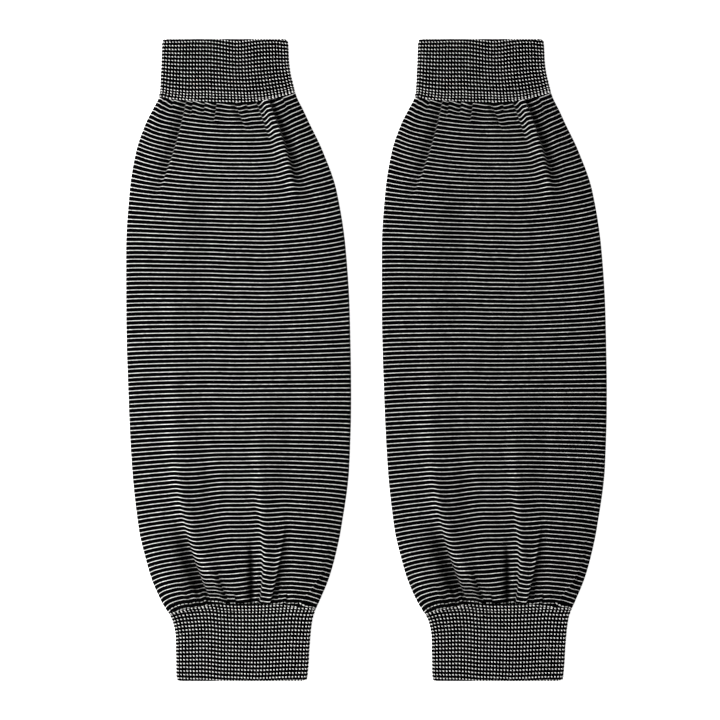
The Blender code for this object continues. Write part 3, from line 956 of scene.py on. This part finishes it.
def makeCuffWall(side, name, material):
    settings = cuffs[name]
    toSeam, length = cuffSpan(name)
    ribs, edgeRibs = cuff["frontRibs"], cuff["edgeRibs"]
    front = ((np.arange(ribs)[:, None] + np.array(cuff["inRib"])) / ribs).reshape(-1)
    wales = 2 * (ribs + 2 * edgeRibs)
    plan = planRing(np.append(front, 1), edgeRibs * cuff["edgePoints"] - 1, cuff["backPoints"],
                    wales, edgeRibs)
    ribbed = plan["rise"] > cuff["ribbedDown"]
    crest = np.sin(pi * (plan["wale"] % 1)) ** cuff["crestPower"] * ribbed
    radius = cuff["wall"] / 2
    seamEnd = length - pair["seamGap"] / 2
    outer = np.linspace(seamEnd, radius, cuff["rows"])
    rim = np.linspace(0, pi, cuff["rimRows"] + 2)[1:-1]
    inner = np.linspace(radius, seamEnd, cuff["innerRows"])
    fromRim = np.concatenate([outer, radius - radius * np.sin(rim), inner])[:, None]
    roundRim = radius - radius * np.cos(rim)
    inset = np.concatenate([0 * outer, roundRim, 0 * inner + cuff["wall"]])[:, None]
    onOuter = np.concatenate([1 + 0 * outer, np.cos(rim).clip(0), 0 * inner])[:, None]
    surface = np.concatenate([outer, radius - radius * rim, -radius * pi + radius - inner])[:, None]
    half = cuff["thickness"] / 2
    depth = inset + onOuter * (cuff["loopHeight"] + cuff["ribHeight"] * (1 - crest)) * ribbed
    across, down = placeRing(plan, settings["rim"] + toSeam * fromRim, half, depth)
    top = cuff["crown"] * dome(plan["share"]) * plan["onFront"]
    height = half + (half - depth) * plan["rise"] + top
    along = (down - settings["rim"]) * toSeam + (surface - fromRim)
    level = along + cuffLift(name, across, np.maximum(along, 0))
    levels = rowLevels(settings)
    beyond = np.minimum(level - levels[0], 0) + np.maximum(level - levels[-1], 0)
    row = np.interp(level, levels, np.arange(len(levels)))
    knit = closeMap(plan["wale"], row + beyond / settings["rowPitch"] + 0.5, wales)
    bake = np.stack([
        cuff["bakeLeft"] + knit[..., 0] / (wales + edgeRibs) * cuff["bakeWidth"],
        cuff["bakeMiddle"] + knit[..., 1] / (2 * len(levels)) * cuff["bakeHeight"],
    ], axis=-1)
    points = np.stack([across, pair["length"] / 2 - down, height], axis=-1)
    if toSeam > 0:
        points, knit, bake = points[::-1], knit[::-1], bake[::-1]  # keeps the faces outward
    return closeShell(cuffName(side, name), side, points, knit, bake, material)


def placeLoops(name):
    # a cuff's loops: where they stand, their two directions, their sizes, and which are white
    settings = cuffs[name]
    half = cuff["thickness"] / 2
    ribs, edgeRibs = cuff["frontRibs"], cuff["edgeRibs"]
    quarter = (np.arange(edgeRibs + 1) + 0.5) / edgeRibs * pi / 2
    share = np.concatenate([(np.arange(ribs) + 0.5) / ribs, 0 * quarter, 1 + 0 * quarter])
    angle = np.concatenate([np.zeros(ribs), -quarter, quarter])
    chance = np.random.default_rng(cuff["seed"])
    found = {"place": [], "outward": [], "along": [], "size": [], "white": []}
    for level, pitch, isWhite, rowSize in listRows(settings):
        fromRim = level + 0 * share
        for _ in range(cuff["rowRounds"]):
            left, right, across = cuffEdges(name, share, angle, fromRim)
            fromRim = level - cuffLift(name, across, np.maximum(fromRim, 0))
        toSeam = abs(courseDown(settings["seam"], across, left, right) - settings["rim"])
        if isWhite:
            stretch = cuff["whiteStretch"]
            highest = toSeam - cuff["whiteRoom"]
            pulled = np.minimum(fromRim, highest)
            fromRim = np.where(fromRim < highest + cuff["pullBack"], pulled, fromRim)
        else:
            stretch = pitch / 2 / stitch["courseHeight"]
            highest = toSeam - pitch * cuff["blackRoom"]
        sized = 1 + cuff["sizeSpread"] * chance.standard_normal((len(share), 3))
        lean = cuff["leanSpread"] * chance.standard_normal(len(share))
        place, normal, ahead = placeOnCuff(name, share, angle, fromRim, -cuff["loopHeight"])
        onFlat = (left + right - 2 * half) / ribs
        wide = np.where(angle == 0, onFlat, half * pi / 2 / edgeRibs) / stitch["ribWidth"]
        scale = np.stack([wide, 0 * wide + stretch, 1 + 0 * wide], axis=-1)
        kept = (fromRim > -cuff["rimReach"] * cuff["wall"] / 2) & (fromRim <= highest)
        found["place"].append(place[kept])
        found["outward"].append(normal[kept])
        found["along"].append((ahead + np.cross(ahead, normal) * lean[:, None])[kept])
        found["size"].append((scale * sized * rowSize)[kept])
        found["white"].append(np.full(kept.sum(), isWhite))
    return {key: np.concatenate(values) for key, values in found.items()}


def makeCuffLoops(side, name, tree, loops, yarns):
    found = placeLoops(name)
    points = bpy.data.meshes.new("loopPoints")
    place = found["place"] + np.array([middleOf(side), 0, 0])
    points.from_pydata(place.tolist(), [], [])
    for attribute in ("outward", "along", "size"):
        layer = points.attributes.new(attribute, "FLOAT_VECTOR", "POINT")
        layer.data.foreach_set("vector", found[attribute].reshape(-1))
    points.attributes.new("white", "BOOLEAN", "POINT").data.foreach_set("value", found["white"])
    host = addObject("loopHost", points)
    modifier = host.modifiers.new("loops", "NODES")
    modifier.node_group = tree
    given = {
        "White loop": loops["white"], "Black loop": loops["black"],
        "White yarn": yarns["white"], "Black yarn": yarns["black"], "Loop size": 1.0,
    }
    for item in tree.interface.items_tree:
        if item.in_out == "INPUT" and item.name in given:
            modifier[item.identifier] = given[item.name]
    host.data.update()
    shown = bpy.context.evaluated_depsgraph_get()
    mesh = bpy.data.meshes.new_from_object(host.evaluated_get(shown), depsgraph=shown)
    for attribute in ("outward", "along", "size", "white"):
        if attribute in mesh.attributes:
            mesh.attributes.remove(mesh.attributes[attribute])
    host.modifiers.remove(modifier)
    bpy.data.objects.remove(host)
    mesh.name = cuffName(side, name) + "Loops"
    piece = addObject(mesh.name, mesh)
    print(piece.name, "loops", len(place), "faces", len(mesh.polygons),
          "maps", [m.name for m in mesh.uv_layers], "materials", [m.name for m in mesh.materials])
    return piece


jerseyMaterial = makeJerseyMaterial()
bodies = {side: makeBody(side, jerseyMaterial) for side in pair["sides"]}

print("cuffs")
ribMaterial = makeRibMaterial()
yarns = {
    "white": makeYarnMaterial("whiteYarn", yarn["whiteLoop"]),
    "black": makeYarnMaterial("blackYarn", yarn["black"]),
}
loops = {colour: makeStitch(colour, yarns[colour]) for colour in yarns}
loopTree = makeStitchTree()
cuffWalls, cuffLoops = {}, {}
for side in pair["sides"]:
    for name in cuffs:
        cuffWalls[side, name] = makeCuffWall(side, name, ribMaterial)
        cuffLoops[side, name] = makeCuffLoops(side, name, loopTree, loops, yarns)

print("floor, light and camera")
studio = {
    "floorSize": 4.0,
    "floorGap": 0.2 * mm,
    "floorSurface": {
        "Base Color": (0.93, 0.93, 0.93, 1),
        "Roughness": 0.9,
        "Specular IOR Level": 0.1,
        "Emission Color": (1, 1, 1, 1),
        "Emission Strength": 0.75,
    },
    "sky": {"Color": (1, 1, 1, 1), "Strength": 0.44},
    "keyPower": 30.3,
    "keySize": 0.6,
    "keyPlace": (-1.0, 0.05, 0.65),
    "lens": 120,
    "sensor": 36,
    "viewWidth": 0.4710,
    "viewShift": -0.0039,
    "clothHeight": 0.004,
}


def makeFloor():
    size, below = studio["floorSize"] / 2, -studio["floorGap"]
    mesh = bpy.data.meshes.new("floor")
    corners = [(-size, -size, below), (size, -size, below), (size, size, below), (-size, size, below)]
    mesh.from_pydata(corners, [], [(0, 1, 2, 3)])
    mesh.materials.append(newMaterial("paleFloor", studio["floorSurface"])[0])
    return addObject("floor", mesh)


def makeStudio():
    scene = bpy.context.scene
    scene.world = bpy.data.worlds.new("studio")
    scene.world.use_nodes = True
    for name, value in studio["sky"].items():
        scene.world.node_tree.nodes["Background"].inputs[name].default_value = value
    lamp = bpy.data.lights.new("key", "AREA")
    lamp.energy = studio["keyPower"]
    lamp.size = studio["keySize"]
    key = addObject("key", lamp)
    key.location = studio["keyPlace"]
    key.rotation_mode = "QUATERNION"
    key.rotation_quaternion = key.location.to_track_quat("Z", "Y")
    lens = bpy.data.cameras.new("camera")
    lens.lens = studio["lens"]
    lens.sensor_width = studio["sensor"]
    camera = addObject("camera", lens)
    height = studio["viewWidth"] * studio["lens"] / studio["sensor"] + studio["clothHeight"]
    camera.location = (studio["viewShift"], 0, height)
    scene.camera = camera
    scene.view_settings.view_transform = "Standard"
    scene.view_settings.look = "None"


floor = makeFloor()
makeStudio()

print("what stands for what")
for side in pair["sides"]:
    piece = bodies[side]
    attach(piece, "root")
    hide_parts(side + "_body")
    for name in cuffs:
        wall, loop = cuffWalls[side, name], cuffLoops[side, name]
        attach(wall, "root")
        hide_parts(side + cuffs[name]["node"])
        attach(loop, "root")
